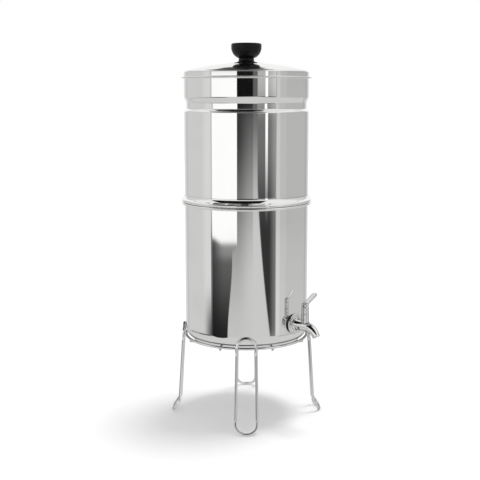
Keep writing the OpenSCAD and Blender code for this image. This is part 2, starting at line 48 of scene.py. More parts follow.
# Shader values that can be combined with + - * like numbers
class Value:
    def __init__(self, graph, socket):
        self.graph = graph
        self.socket = socket

    def __add__(self, other):
        return self.graph.math("ADD", self, other)

    def __radd__(self, other):
        return self.graph.math("ADD", other, self)

    def __sub__(self, other):
        return self.graph.math("SUBTRACT", self, other)

    def __rsub__(self, other):
        return self.graph.math("SUBTRACT", other, self)

    def __mul__(self, other):
        return self.graph.math("MULTIPLY", self, other)

    def __rmul__(self, other):
        return self.graph.math("MULTIPLY", other, self)

    def __neg__(self):
        return self.graph.math("MULTIPLY", self, -1.0)


class Graph:
    def __init__(self, tree):
        self.tree = tree
        tree.nodes.clear()

    def node(self, kind, settings=None, inputs=None):
        made = self.tree.nodes.new(kind)
        for name, value in (settings or {}).items():
            setattr(made, name, value)
        for name, value in (inputs or {}).items():
            self.feed(made.inputs[name], value)
        return made

    def feed(self, socket, value):
        if isinstance(value, Value):
            self.tree.links.new(value.socket, socket)
        elif hasattr(value, "bl_idname"):
            self.tree.links.new(value.outputs[0], socket)
        else:
            socket.default_value = value

    def math(self, operation, *values):
        made = self.node("ShaderNodeMath", {"operation": operation}, dict(enumerate(values)))
        return Value(self, made.outputs[0])

    # 0 below low, 1 above high, smooth between them
    def ramp(self, value, low, high):
        made = self.node("ShaderNodeMapRange", {"interpolation_type": "SMOOTHSTEP"},
                         {"Value": value, "From Min": low, "From Max": high, "To Min": 0.0, "To Max": 1.0})
        return Value(self, made.outputs[0])

    # 1 between low and high, with edges that are soft wide
    def band(self, value, low, high, soft):
        half = soft / 2
        return self.ramp(value, low - half, low + half) * (1.0 - self.ramp(value, high - half, high + half))

    # A mix of two colours, which are sockets 6 and 7 of the node. A number stands for a grey
    def mix(self, factor, first, second):
        made = self.node("ShaderNodeMix", {"data_type": "RGBA"}, {0: factor})
        for index, value in ((6, first), (7, second)):
            if isinstance(value, (int, float)):
                value = (value, value, value, 1.0)
            self.feed(made.inputs[index], value)
        return Value(self, made.outputs[2])

    def noise(self, place, scale, detail=3.0, roughness=0.5):
        made = self.node("ShaderNodeTexNoise", {"noise_dimensions": "3D"},
                         {"Vector": place, "Scale": scale, "Detail": detail, "Roughness": roughness})
        return Value(self, made.outputs[0])

    # The object's own coordinates, stretched along each axis
    def place(self, stretch=(1.0, 1.0, 1.0)):
        source = self.node("ShaderNodeTexCoord")
        made = self.node("ShaderNodeMapping", {"vector_type": "POINT"},
                         {"Vector": Value(self, source.outputs["Object"]), "Scale": stretch})
        return Value(self, made.outputs[0])

    def bump(self, height, strength, distance):
        made = self.node("ShaderNodeBump", None, {"Strength": strength, "Distance": distance, "Height": height})
        return Value(self, made.outputs[0])


def newMaterial(name):
    material = bpy.data.materials.new(name)
    material.use_nodes = True
    return material, Graph(material.node_tree)


def finishMaterial(graph, inputs):
    shader = graph.node("ShaderNodeBsdfPrincipled", None, inputs)
    graph.node("ShaderNodeOutputMaterial", None, {"Surface": shader})


# Metals. tone is the reflected colour, rough the least roughness and smear how much that varies. edge is a painted
# dark reflection: how dark the base colour is painted where the eye meets the metal at a slant. crown is a painted
# shade: how dark a wire's top is painted where it lies above the height set next to it, in metres. brush is the depth
# of fine lines and lines how close they lie along each axis
metalFinishes = {
    "polishedSteel": {"tone": (0.93, 0.93, 0.92), "rough": 0.035, "smear": 0.03},
    "chromeWire": {"tone": (0.96, 0.96, 0.96), "rough": 0.04, "smear": 0.03, "edge": 0.6, "crown": 0.65,
                   "crownFrom": 0.12},
    "tapSteel": {"tone": (0.93, 0.93, 0.92), "rough": 0.07, "smear": 0.05, "edge": 0.8, "brush": 0.01,
                 "lines": (300.0, 300.0, 300.0)},
    "satinSteel": {"tone": (0.95, 0.95, 0.94), "rough": 0.20, "smear": 0.06, "edge": 0.9, "brush": 0.02,
                   "lines": (400.0, 400.0, 900.0)},
    "screwSteel": {"tone": (0.72, 0.72, 0.70), "rough": 0.20, "smear": 0.08, "edge": 0.4, "brush": 0.02,
                   "lines": (500.0, 500.0, 500.0)},
}
# The near-black that the metals' painted dark reflection and painted shade blend towards
paintedDarkTone = (0.02, 0.02, 0.02, 1.0)


def metal(name):
    finish = metalFinishes[name]
    material, g = newMaterial(name)
    smudge = g.noise(g.place(), 9.0, 4.0)
    tone = finish["tone"]
    dull = tuple(0.96 * c for c in tone)
    colour = g.mix(g.ramp(smudge, 0.45, 0.75), (*tone, 1.0), (*dull, 1.0))
    # Painted dark reflection: the base colour is blended towards black where the surface is seen at a slant
    if "edge" in finish:
        face = g.node("ShaderNodeLayerWeight", None, {"Blend": 0.5})
        dark = finish["edge"] * g.ramp(Value(g, face.outputs["Facing"]), 0.35, 0.75)
        # Painted shade: the upward faces of wires above the set height, under the vessel, are darkened as well
        if "crown" in finish:
            geometry = g.node("ShaderNodeNewGeometry")
            upward, height = (upPart(g, Value(g, geometry.outputs[part])) for part in ("Normal", "Position"))
            low = finish["crownFrom"]
            above = finish["crown"] * g.ramp(upward, 0.45, 0.8) * g.ramp(height, low, low + 0.01)
            dark = dark + above * (1.0 - dark)
        colour = g.mix(dark, colour, paintedDarkTone)
    inputs = {
        "Base Color": colour,
        "Metallic": 1.0,
        "Roughness": finish["rough"] + finish["smear"] * g.ramp(smudge, 0.5, 0.85),
    }
    if "brush" in finish:
        grain = g.noise(g.place(finish["lines"]), 1.0, 4.0, 0.6)
        inputs["Normal"] = g.bump(grain, finish["brush"], 0.001)
    finishMaterial(g, inputs)
    return material


# The z part of a vector
def upPart(g, vector):
    parts = g.node("ShaderNodeSeparateXYZ", None, {"Vector": vector})
    return Value(g, parts.outputs["Z"])


# Plastics, rubber and ceramic, between the colours tone and other. fleck is how fine the surface's grain is, depth its
# bump, vary how much the roughness varies, coat the weight of a clear coat and gloss the strength of the reflection
solidFinishes = {
    "knobBlack": {"tone": (0.006, 0.006, 0.006), "other": (0.010, 0.010, 0.010), "rough": 0.36, "vary": 0.10,
                  "fleck": 420.0, "depth": 0.04, "coat": 0.0, "gloss": 0.22},
    "sealRubber": {"tone": (0.030, 0.030, 0.032), "other": (0.055, 0.055, 0.058), "rough": 0.62, "vary": 0.15,
                   "fleck": 900.0, "depth": 0.12, "coat": 0.0, "gloss": 0.5},
    "whitePlastic": {"tone": (0.80, 0.80, 0.78), "other": (0.73, 0.74, 0.73), "rough": 0.34, "vary": 0.10,
                     "fleck": 300.0, "depth": 0.04, "coat": 0.15, "gloss": 0.5},
    "candleCeramic": {"tone": (0.83, 0.80, 0.73), "other": (0.70, 0.66, 0.58), "rough": 0.82, "vary": 0.10,
                      "fleck": 700.0, "depth": 0.25, "coat": 0.0, "gloss": 0.5},
}


def solid(name):
    finish = solidFinishes[name]
    material, g = newMaterial(name)
    place = g.place()
    grain = g.noise(place, finish["fleck"], 5.0, 0.6)
    cloud = g.noise(place, 22.0, 3.0)
    patches = g.ramp(grain * 0.6 + cloud * 0.4, 0.38, 0.68)
    finishMaterial(g, {
        "Base Color": g.mix(patches, (*finish["tone"], 1.0), (*finish["other"], 1.0)),
        "Roughness": finish["rough"] + finish["vary"] * g.ramp(cloud, 0.35, 0.75),
        "Specular IOR Level": finish["gloss"],
        "Coat Weight": finish["coat"],
        "Coat Roughness": 0.15,
        "Normal": g.bump(grain, finish["depth"], 0.0006),
    })
    return material


materials = {name: metal(name) for name in metalFinishes}
materials.update({name: solid(name) for name in solidFinishes})
print("materials:", len(materials))


# Points of an arc in a plane, from one angle to another in degrees
def arc(centre, r, start, end, steps):
    angles = [math.radians(start + (end - start) * k / steps) for k in range(steps + 1)]
    return [(centre[0] + r * math.cos(a), centre[1] + r * math.sin(a)) for a in angles]


# A path of corner points, each rounded by its own bend, with a support point beside every bend
def bendPath(corners, bends, closed=False, steps=8, support=0.25):
    corners = [Vector(c) for c in corners]
    count = len(corners)
    turns, shares = [], [1.0] * count
    for i, at in enumerate(corners):
        r = bends[i] if isinstance(bends, (list, tuple)) else bends
        u, w = (at - corners[i - 1]).normalized(), (corners[(i + 1) % count] - at).normalized()
        turn = math.acos(max(-1.0, min(1.0, u.dot(w))))
        sharp = (not closed and i in (0, count - 1)) or r <= 0 or turn < 0.01
        turns.append((u, w, turn, 0.0 if sharp else r * math.tan(turn / 2)))
    # two bends share the length between them
    for i in range(count if closed else count - 1):
        j = (i + 1) % count
        wanted, room = turns[i][3] + turns[j][3], 0.98 * (corners[j] - corners[i]).length
        if wanted > room:
            shares[i] = min(shares[i], room / wanted)
            shares[j] = min(shares[j], room / wanted)
    path = []
    for at, (u, w, turn, reach), share in zip(corners, turns, shares):
        reach *= share
        if reach <= 0:
            path.append(at)
            continue
        r = reach / math.tan(turn / 2)
        side = (w - u * u.dot(w)).normalized()
        centre = at - u * reach + side * r
        many = max(2, math.ceil(steps * turn / (math.pi / 2)))
        if support:
            path.append(at - u * (reach + support))
        for k in range(many + 1):
            a = turn * k / many
            path.append(centre - side * r * math.cos(a) + u * r * math.sin(a))
        if support:
            path.append(at + w * (reach + support))
    spaced = [path[0]]
    for p in path[1:]:
        if (p - spaced[-1]).length > 0.01:
            spaced.append(p)
    return spaced


# The same for the outline of a turned form, from (r, z) to (r, z)
def roundOutline(corners, bends, closed=False, steps=8, support=0.1):
    return [tuple(p.to_2d()) for p in bendPath([(r, z, 0.0) for r, z in corners], bends, closed, steps, support)]


# A piece of the model from points in millimetres, that rides on a body and stands for CAD nodes
def makePiece(name, points, faces, material, slot, body, nodes):
    mesh = bpy.data.meshes.new(name)
    mesh.from_pydata([[c * mm for c in p] for p in points], [], faces)
    mesh.validate()
    mesh.polygons.foreach_set("use_smooth", [True] * len(mesh.polygons))
    mesh.materials.append(materials[material])
    mesh.update()
    piece = bpy.data.objects.new(name, mesh)
    bpy.context.scene.collection.objects.link(piece)
    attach(piece, body)
    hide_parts(*nodes)


# Points and faces of a turned form. Its outline is a list of (r, z); an end at r = 0 closes on the axis
def turned(outline, steps=192, closed=False):
    points, faces, rings = [], [], []
    angles = [2 * math.pi * k / steps for k in range(steps)]
    for r, z in outline:
        if r < 1e-6:
            rings.append([len(points)] * steps)
            points.append((0.0, 0.0, z))
        else:
            start = len(points)
            rings.append(list(range(start, start + steps)))
            points.extend((r * math.cos(a), r * math.sin(a), z) for a in angles)
    pairs = list(zip(rings, rings[1:])) + ([(rings[-1], rings[0])] if closed else [])
    for low, high in pairs:
        for k in range(steps):
            m = (k + 1) % steps
            face = [low[k], low[m], high[m], high[k]]
            face = [v for i, v in enumerate(face) if v != face[i - 1]]
            if len(face) > 2:
                faces.append(face)
    return points, faces


# Points and faces of a swept form. Each ring is a list of the same number of points
def skinned(rings, closed=False):
    points = [p for ring in rings for p in ring]
    count, n, faces = len(rings), len(rings[0]), []
    for i in range(count if closed else count - 1):
        j = (i + 1) % count
        faces.extend([i * n + k, i * n + (k + 1) % n, j * n + (k + 1) % n, j * n + k] for k in range(n))
    if not closed:
        faces.append(list(range(n - 1, -1, -1)))
        faces.append([(count - 1) * n + k for k in range(n)])
    return points, faces


# Points and faces of a round wire. radius is a number or a list, and lean a direction that the wire never follows
def wire(path, radius, lean, closed=False, sides=24):
    path = [Vector(p) for p in path]
    lean = Vector(lean)
    angles = [2 * math.pi * k / sides for k in range(sides)]
    count, rings = len(path), []
    for i, p in enumerate(path):
        before = path[i - 1] if closed or i > 0 else p
        after = path[(i + 1) % count] if closed or i < count - 1 else p
        along = ((p - before).normalized() + (after - p).normalized()).normalized()
        across = along.cross(lean).normalized()
        up = across.cross(along)
        r = radius[i] if isinstance(radius, list) else radius
        rings.append([p + r * (across * math.cos(a) + up * math.sin(a)) for a in angles])
    return skinned(rings, closed)


# Several forms as one
def joined(*forms):
    points, faces = [], []
    for morePoints, moreFaces in forms:
        start = len(points)
        points.extend(morePoints)
        faces.extend([start + v for v in face] for face in moreFaces)
    return points, faces


# A form turned and moved by a matrix
def placed(form, matrix):
    points, faces = form
    return [matrix @ Vector(p) for p in points], faces


# A form moved along x
def shifted(form, x):
    points, faces = form
    return [(p[0] + x, p[1], p[2]) for p in points], faces


# Stand: a ring, four cross wires and four bent legs. crossPast is how far a cross wire's end lies past the ring's own
# middle line. The wires from side to side dip from crossHeight to crossLow over dipLength, to pass under the others.
# legProfile goes from a leg's arch down to its foot: half the width, reach from the axis, height and bend of a corner
standSizes = {
    "ringRadius": 110.0, "ringHeight": 145.5, "wire": 4.5, "crossPitch": 90.8, "crossHeight": 141.35, "crossLow": 137.2,
    "crossPast": 1.6, "endRound": 0.6, "dipLength": 7.0, "dipBend": 6.0, "legWire": 4.8,
    "legProfile": [(17.0, 113.8, 163.7, 17.0), (17.0, 114.3, 140.5, 6.0), (17.0, 115.5, 135.5, 6.0),
                   (18.5, 122.5, 20.0, 7.0), (18.5, 135.5, 2.4, 18.5)],
}


def buildStand(s):
    r = s["wire"] / 2
    ringSection = [(s["ringRadius"] + r * math.cos(a), s["ringHeight"] + r * math.sin(a))
                   for a in (2 * math.pi * k / 24 for k in range(24))]
    makePiece("ringWire", *turned(ringSection, 240, True), "chromeWire", "stand_wire", "stand", ["stand_ring"])

    half = math.sqrt(s["ringRadius"] ** 2 - (s["crossPitch"] / 2) ** 2) + s["crossPast"]
    high, low, less = s["crossHeight"], s["crossLow"], s["endRound"]
    dipFrom = half - 4 * s["wire"]
    dipTo = dipFrom - s["dipLength"]
    longs, wides = [], []
    for side in (-1, 1):
        at = side * s["crossPitch"] / 2
        straight = [(at, y, high) for y in (-half, -half + less, half - less, half)]
        longs.append(wire(straight, [r - less, r, r, r - less], (1, 0, 0)))
        dipped = [(-half, at, high), (-dipFrom, at, high), (-dipTo, at, low),
                  (dipTo, at, low), (dipFrom, at, high), (half, at, high)]
        wides.append(wire(bendPath(dipped, s["dipBend"]), r, (0, 1, 0)))
    makePiece("crossWiresFrontToBack", *joined(*longs), "chromeWire", "stand_wire", "stand", ["cross_wires_long"])
    makePiece("crossWiresSideToSide", *joined(*wides), "chromeWire", "stand_wire", "stand", ["cross_wires_wide"])

    # down one side of the leg and up the other
    profile = s["legProfile"]
    corners = [(x, -y, z) for x, y, z, bend in profile] + [(-x, -y, z) for x, y, z, bend in reversed(profile)]
    bends = [bend for x, y, z, bend in profile + profile[::-1]]
    path = bendPath(corners, bends, True, 10)
    for name, turn in (("front", 0), ("right", 90), ("back", 180), ("left", 270)):
        leg = placed(wire(path, s["legWire"] / 2, (0, 1, 0), True), Matrix.Rotation(math.radians(turn), 4, "Z"))
        makePiece("legWire" + name.capitalize(), *leg, "chromeWire", "stand_wire", "stand", ["leg_" + name])


buildStand(standSizes)
print("stand built")

# Vessels: two chambers that nest, as turned sheet. The lower one ends in a rolled rim, and the upper one has a round
# bead on the seam, a flare above it, a groove round it and a flat lip
vesselSizes = {
    "radius": 111.0, "wall": 1.0, "base": 143.8, "cornerRun": 12.0, "cornerHeight": 22.0,
    "rimRadius": 117.0, "lowerRim": 389.3, "rimRoll": 2.0, "rimBend": 1.0,
    "seam": 389.5, "beadGap": 0.3, "beadRoll": 3.2, "beadEnd": 60.0, "flareTop": 405.4,
    "grooveAt": 554.5, "grooveTall": 11.0, "grooveDepth": 4.0, "upperRim": 608.5, "lipOut": 4.0,
    "footRadius": 109.2, "floor": 367.5, "footBend": 6.0,
}


def buildLowerShell(s):
    r, inner = s["radius"], s["radius"] - s["wall"]
    run, up = s["cornerRun"], s["cornerHeight"]
    corner = (r - run, s["base"] + up)

    # Points of the oval corner, smaller by a wall's thickness on the inside
    def oval(less, start, end, steps):
        quarter = arc((0, 0), 1.0, start, end, steps)
        return [(corner[0] + x * (run - less), corner[1] + y * (up - less)) for x, y in quarter]

    outside = [(0.0, s["base"]), (40.0, s["base"]), (90.0, s["base"]), (corner[0] - 0.4, s["base"])]
    outside += oval(0.0, -90, 0, 28)
    roll, bend, rim = s["rimRoll"], s["rimBend"], s["lowerRim"]
    rimFoot = rim - 2 * roll - bend
    outside += [(r, corner[1] + 0.5), (r, 300.0), (r, 378.0), (r, rimFoot - 0.4), (r, rimFoot - 0.1)]
    outside += arc((r + bend, rimFoot), bend, 180, 90, 5)
    outside += arc((s["rimRadius"] - roll, rim - roll), roll, -90, 90, 16)
    outside += arc((inner + roll, rim - roll), roll, 90, 180, 6)
    inside = [(inner, 370.0), (inner, corner[1] + 0.5)] + oval(s["wall"], 0, -90, 20)
    inside += [(60.0, s["base"] + s["wall"]), (0.0, s["base"] + s["wall"])]
    form = turned(outside + inside, 256)
    makePiece("lowerShell", *form, "polishedSteel", "polished_steel", "lower", ["lower_chamber"])


def buildUpperShell(s):
    r, wall, inner = s["radius"], s["wall"], s["radius"] - s["wall"]
    foot, floor, seam, top = s["footRadius"], s["floor"], s["seam"], s["upperRim"]
    bend, roll, depth = s["footBend"], s["beadRoll"], s["grooveDepth"]
    footCorner = (foot - bend, floor + bend)
    bead = (s["rimRadius"] - s["beadGap"] - roll, seam + roll)
    outline = [(0.0, floor), (60.0, floor)] + arc(footCorner, bend, -90, 0, 10)
    outline += [(foot, floor + 7.0), (foot, seam - 0.4)]
    outline += arc(bead, roll, -84, s["beadEnd"], 18)
    # the bead's last point comes twice, so that the flare starts with a crease
    end = math.radians(s["beadEnd"])
    outline.append(tuple(Vector(bead) + roll * Vector((math.cos(end), math.sin(end)))))
    flareTop = s["flareTop"]
    outline += [(r + 0.35, flareTop - 6.4), (r, flareTop), (r, flareTop + 1.0), (r, flareTop + 14.6)]
    low, high, lip = s["grooveAt"], s["grooveAt"] + s["grooveTall"], r + s["lipOut"]
    outline += roundOutline([(r, 500.0), (r, low - 4.0), (r - depth, low), (r - depth, high), (r, high + 9.0),
                             (r, 600.0)], [0, 4.0, 3.0, 5.0, 9.0, 0], False, 40, 0.6)
    outline += roundOutline([(r, top - 3.5), (r, top - 1.2), (lip, top - 1.0), (lip, top), (inner, top),
                             (inner, 600.0)], [0, 0.6, 0.4, 0.4, 1.2, 0])
    # back down on the inside
    outline += roundOutline([(inner, 596.0), (inner, high + 11.0), (inner - depth, high), (inner - depth, low),
                             (inner, low - 4.0), (inner, 405.0)], [0, 8.0, 6.0, 4.0, 5.0, 0], False, 12, 0.4)
    outline += arc(bead, roll - wall, 80, -60, 10) + [(foot - wall, seam)]
    outline += arc(footCorner, bend - wall, 0, -90, 8) + [(60.0, floor + wall), (0.0, floor + wall)]
    makePiece("upperShell", *turned(outline, 256), "polishedSteel", "polished_steel", "upper", ["upper_chamber"])


buildLowerShell(vesselSizes)
buildUpperShell(vesselSizes)
print("chambers built")

# Lid: a lip, an upright band, a shallow dome that rises to the knob's raised seat, and a skirt that centres it
lidSizes = {
    "lip": 117.0, "lipHeight": 608.7, "radius": 111.0, "wall": 1.0, "domeEdge": 621.2, "rise": 14.0, "corner": 3.0,
    "seat": 31.0, "seatTop": 635.06, "skirtLow": 600.7, "skirtTop": 615.2, "skirtGap": 0.3,
}


# Height of a dome at x from its axis
def domeHeight(edge, rise, low, x):
    big = (edge ** 2 + rise ** 2) / (2 * rise)
    return low + rise - big + math.sqrt(big ** 2 - x ** 2)


def domeLine(edge, rise, low, steps):
    return [(x, domeHeight(edge, rise, low, x)) for x in (edge * (1 - k / steps) for k in range(steps + 1))]


def buildLid(s):
    r, wall, inner = s["radius"], s["wall"], s["radius"] - s["wall"]
    low, rise, domeLow = s["lipHeight"], s["rise"], s["domeEdge"]
    edge = r - s["corner"]
    slope = math.degrees(math.asin(2 * edge * rise / (edge ** 2 + rise ** 2)))
    outside = roundOutline([(inner, low), (s["lip"], low), (s["lip"], low + 1.0), (r, low + 1.3), (r, low + 6.0)],
                           [0, 0.45, 0.45, 0.8, 0], False, 8, 0.15)
    corner = (edge, domeLow - s["corner"])
    outside += [(r, corner[1] - 0.4)] + arc(corner, s["corner"], 0, 90 - slope, 10)
    # the dome starts where the rounded corner ends, and stops at the knob's seat
    cornerEnd, seat, seatTop = outside[-1][0], s["seat"], s["seatTop"]
    outside += [(x, z) for x, z in domeLine(edge, rise, domeLow, 24) if seat + 5.0 < x < cornerEnd - 1.0]
    slopeFoot = (seat + 3.0, domeHeight(edge, rise, domeLow, seat + 3.0))
    beside = (seat + 8.0, domeHeight(edge, rise, domeLow, seat + 8.0))
    raised = roundOutline([beside, slopeFoot, (seat, seatTop), (seat - 6.0, seatTop)], [0, 2.0, 2.0, 0], False, 30, 0.2)
    outside += raised[1:] + [(0.0, seatTop)]
    inside = [(0.0, seatTop - wall), (seat - 0.5, seatTop - wall)]
    inside += [(x, z) for x, z in reversed(domeLine(edge, rise, domeLow - wall, 16)) if seat + 3.0 < x < edge - 2.0]
    inside += arc(corner, s["corner"] - wall, 90 - slope, 0, 6) + [(inner, low + 2.0)]
    makePiece("lidDome", *turned(outside + inside, 256, True), "polishedSteel", "polished_steel", "lid", ["lid_shell"])

    out = inner - s["skirtGap"]
    foot, head = s["skirtLow"], s["skirtTop"]
    skirt = roundOutline([(out, foot), (out, head), (out - wall, head), (out - wall, foot)], 0.35, True, 6, 0.1)
    makePiece("lidSkirt", *turned(skirt, 192, True), "polishedSteel", "polished_steel", "lid", ["lid_skirt"])


# Knob: a mushroom with a spread foot. neckAt and rimAt are shares of its height
knobSizes = {
    "foot": 20.0, "footEdge": 0.9, "neck": 13.5, "neckAt": 0.235, "bowl": 26.9, "rimAt": 0.8, "rimBend": 3.0,
    "height": 34.5, "base": 635.26,
}


def buildKnob(s):
    foot, lift, neck, bowl, tall = s["foot"], s["footEdge"], s["neck"], s["bowl"], s["height"]
    neckAt, rimAt = s["neckAt"] * tall, s["rimAt"] * tall
    outline = [(0.0, 0.0), (foot - 0.7, 0.0), (foot - 0.1, 0.15), (foot, 0.5), (foot - 0.3, lift)]
    sweep = foot - neck - 0.6
    for k in range(1, 15):
        a = math.radians(90 * k / 14)
        outline.append((neck + sweep * (1 - math.sin(a)) ** 1.5, lift + (neckAt - lift) * (1 - math.cos(a))))
    # the bowl is a quarter of an oval whose middle lies inside the neck
    middle, bowlTall = neck - 5.2, rimAt - neckAt + 0.8
    bowlWide = bowl - middle
    first = math.degrees(math.asin((neck + 0.2 - middle) / bowlWide))
    outline += [(middle + bowlWide * x, rimAt - bowlTall * z) for z, x in arc((0, 0), 1.0, first, 90, 26)]
    outline += arc((bowl - s["rimBend"], tall - s["rimBend"] - 0.4), s["rimBend"], 0, 80, 12)
    crown = outline[-1]
    shares = [1 - k / 8 for k in range(1, 9)]
    outline += [(crown[0] * share, tall - (tall - crown[1]) * share ** 2) for share in shares]
    form = turned([(x, z + s["base"]) for x, z in outline], 144)
    makePiece("knobTurned", *form, "knobBlack", "knob_plastic", "lid", ["knob"])


buildLid(lidSizes)
buildKnob(knobSizes)
print("lid built")

# Tap: along its own x from the vessel's axis, turned into place. flow is the width of the bore that ends at the mouth
tapSizes = {
    "turn": -42.0, "height": 181.3, "collarStart": 115.6, "collar": 21.4, "root": 18.8, "pipe": 16.0,
    "bendStart": 139.6, "bendRadius": 23.0, "bendTurn": 62.0, "nozzle": 4.0, "mouth": 13.0, "flow": 9.0,
    "barrelAt": 136.8, "barrel": 13.4, "barrelTop": 203.3, "bonnet": 12.8, "bonnetTop": 216.3, "bore": 4.2,
    "flangeStart": 113.0, "flange": 35.5, "flangeThick": 3.0, "flangeBore": 7.6,
    "shankStart": 93.2, "shankEnd": 112.8, "threadLow": 6.5, "threadHigh": 7.2, "threadPitch": 1.8, "threadTurns": 10,
}


# Points and faces of a turned form that lies along the tap's axis
def alongTap(outline, height, steps=96, closed=False):
    points, faces = turned(outline, steps, closed)
    return [(z, x, y + height) for x, y, z in points], faces


# A pipe that starts level, bends down and runs straight to its mouth, with its bore
def spoutForm(s):
    z, root, pipe, mouth, flow = s["height"], s["root"] / 2, s["pipe"] / 2, s["mouth"] / 2, s["flow"] / 2
    sweep, big = math.radians(s["bendTurn"]), s["bendRadius"]
    length = big * sweep + s["nozzle"]

    # The pipe's middle and its slope, at a distance t from where the bend starts
    def centre(t):
        if t <= 0:
            return Vector((s["bendStart"] + t, 0, z)), 0.0
        if t < big * sweep:
            a = t / big
            return Vector((s["bendStart"] + big * math.sin(a), 0, z - big * (1 - math.cos(a)))), a
        past = t - big * sweep
        return Vector((s["bendStart"] + big * math.sin(sweep) + past * math.cos(sweep), 0,
                       z - big * (1 - math.cos(sweep)) - past * math.sin(sweep))), sweep

    def ring(t, r, sides=48):
        middle, a = centre(t)
        up, angles = Vector((math.sin(a), 0, math.cos(a))), [2 * math.pi * k / sides for k in range(sides)]
        return [middle + r * (Vector((0, math.cos(b), 0)) + up * math.sin(b)) for b in angles]

    # outside, down to the mouth, then back up the bore
    start, collar = s["collarStart"] - s["bendStart"], s["collar"] / 2
    stations = [(start, collar - 0.5), (start + 0.5, collar), (start + 2.2, collar), (start + 2.7, collar - 0.4),
                (start + 2.9, root + 0.5), (start + 3.3, root + 0.1)]
    first = start + 3.6
    for k in range(29):
        t = first + (length - first) * k / 28
        if t < 0:
            wide = root + (pipe - root) * (t - first) / -first
        else:
            wide = pipe + (mouth - pipe) * (t / length) ** 1.5
        stations.append((t if k < 28 else length - 0.8, wide))
    stations += [(length - 0.5, mouth - 0.02), (length - 0.1, mouth - 0.25), (length, mouth - 0.6)]
    stations += [(length, flow + 0.5), (length - 0.15, flow + 0.1), (length - 0.6, flow)]
    stations += [(length - 3.0 * k, flow) for k in range(1, 8)]
    return skinned([ring(t, r) for t, r in stations])


# The shank inside the vessel, with the ridges of its thread
def shankForm(s):
    low, high, start, end = s["threadLow"], s["threadHigh"], s["shankStart"], s["shankEnd"]
    outline = [(0.0, start)]
    for k in range(s["threadTurns"]):
        x = start + 0.4 + s["threadPitch"] * k
        outline += [(low, x), (high, x + 0.55), (high, x + 0.85), (low, x + 1.4)]
    outline += [(low, end), (0.0, end)]
    return alongTap(outline, s["height"], 64)


def buildTap(s):
    turn = Matrix.Rotation(math.radians(s["turn"]), 4, "Z")
    z, at = s["height"], s["barrelAt"]
    body = placed(joined(spoutForm(s), shankForm(s)), turn)
    makePiece("tapSpout", *body, "tapSteel", "tap_steel", "lower", ["tap_body"])

    r, low, top = s["barrel"] / 2, z + 2.0, s["barrelTop"]
    barrel = turned(roundOutline([(0, low), (r, low), (r, top), (r - 2.0, top), (0, top)], [0, 0.1, 0.5, 0.1, 0]), 72)
    makePiece("tapBarrel", *placed(shifted(barrel, at), turn), "satinSteel", "tap_steel", "lower", ["tap_body"])

    r, bore, start, thick = s["flange"] / 2, s["flangeBore"], s["flangeStart"], s["flangeThick"]
    edge = start + thick - 0.4
    dish = roundOutline([(bore, start), (r, start), (r, edge), (r - 2.8, edge), (r - 3.4, edge - 0.6),
                         (s["collar"] / 2 + 1.0, start + thick), (bore, start + thick)],
                        [0.2, 1.25, 1.25, 0.4, 0.6, 2.0, 0.2], True)
    dish = placed(alongTap(dish, z, 96, True), turn)
    makePiece("tapFlangeDish", *dish, "satinSteel", "tap_steel", "lower", ["tap_flange"])

    # the bonnet has a narrow groove below its top
    r, neck, bore, low, high = s["bonnet"] / 2, s["bonnet"] / 2 - 0.5, s["bore"], s["barrelTop"], s["bonnetTop"]
    cap = roundOutline([(bore, low), (neck, low), (neck, low + 0.5), (r, low + 0.9), (r, high - 2.2),
                        (neck, high - 1.9), (neck, high - 1.4), (r - 0.1, high - 1.1), (r - 0.9, high), (bore, high)],
                       [0.1, 0.1, 0.1, 0.2, 0.2, 0.1, 0.1, 0.3, 0.3, 0.1], True)
    cap = placed(shifted(turned(cap, 72, True), at), turn)
    makePiece("tapBonnetCap", *cap, "satinSteel", "tap_steel", "lower", ["tap_bonnet"])


# Lever: a flat paddle with rounded edges that grows out of its hub. rest is its turn from the spout's line
leverSizes = {
    "hubBase": 216.7, "hub": 12.4, "hubHeight": 4.6, "screw": 3.2, "length": 33.0, "wide": 11.5, "thick": 4.0,
    "lean": 27.0, "rest": 90.0, "square": 0.55,
}


def buildLever(s, tap):
    turn, at = Matrix.Rotation(math.radians(tap["turn"]), 4, "Z"), tap["barrelAt"]
    r, low, high, screw = s["hub"] / 2, s["hubBase"], s["hubBase"] + s["hubHeight"], s["screw"]
    hub = roundOutline([(0, low), (r, low), (r, high), (screw, high), (screw, high - 0.3), (0, high - 0.3)],
                       [0, 0.4, 1.1, 0.2, 0.1, 0])

    # Bends a round section towards a rectangle
    def squared(v):
        return math.copysign(abs(v) ** s["square"], v)

    rings, sides = [], 40
    half, tip = s["wide"] / 2, s["length"] - s["wide"] / 2
    for k in range(29):
        along = 1.0 + (s["length"] - 1.0) * (1 - (1 - k / 28) ** 1.6)
        wide = half * (0.75 + 0.25 * along / tip)
        if along > tip:
            wide *= math.sqrt(max(0.02, half ** 2 - (along - tip) ** 2)) / half
        thick = s["thick"] / 2 * min(1.0, 0.25 + 0.75 * (wide / 3.0))
        angles = [2 * math.pi * j / sides for j in range(sides)]
        rings.append([Vector((along, wide * squared(math.cos(a)), thick * squared(math.sin(a)))) for a in angles])
    middle = Matrix.Translation((at, 0, s["hubBase"] + s["hubHeight"] / 2))
    lean = middle @ Matrix.Rotation(math.radians(s["rest"]), 4, "Z") @ Matrix.Rotation(math.radians(-s["lean"]), 4, "Y")
    lever = joined(shifted(turned(hub, 72), at), placed(skinned(rings), lean))
    makePiece("tapLever", *placed(lever, turn), "tapSteel", "tap_steel", "handle", ["tap_handle"])


buildTap(tapSizes)
buildLever(leverSizes, tapSizes)
print("tap built")

# Filter elements: fired ceramic candles with a rounded end, between the heights of the CAD candles
candleSizes = {"pitch": 50.0, "radius": 26.0, "bend": 24.0, "foot": 1.0}


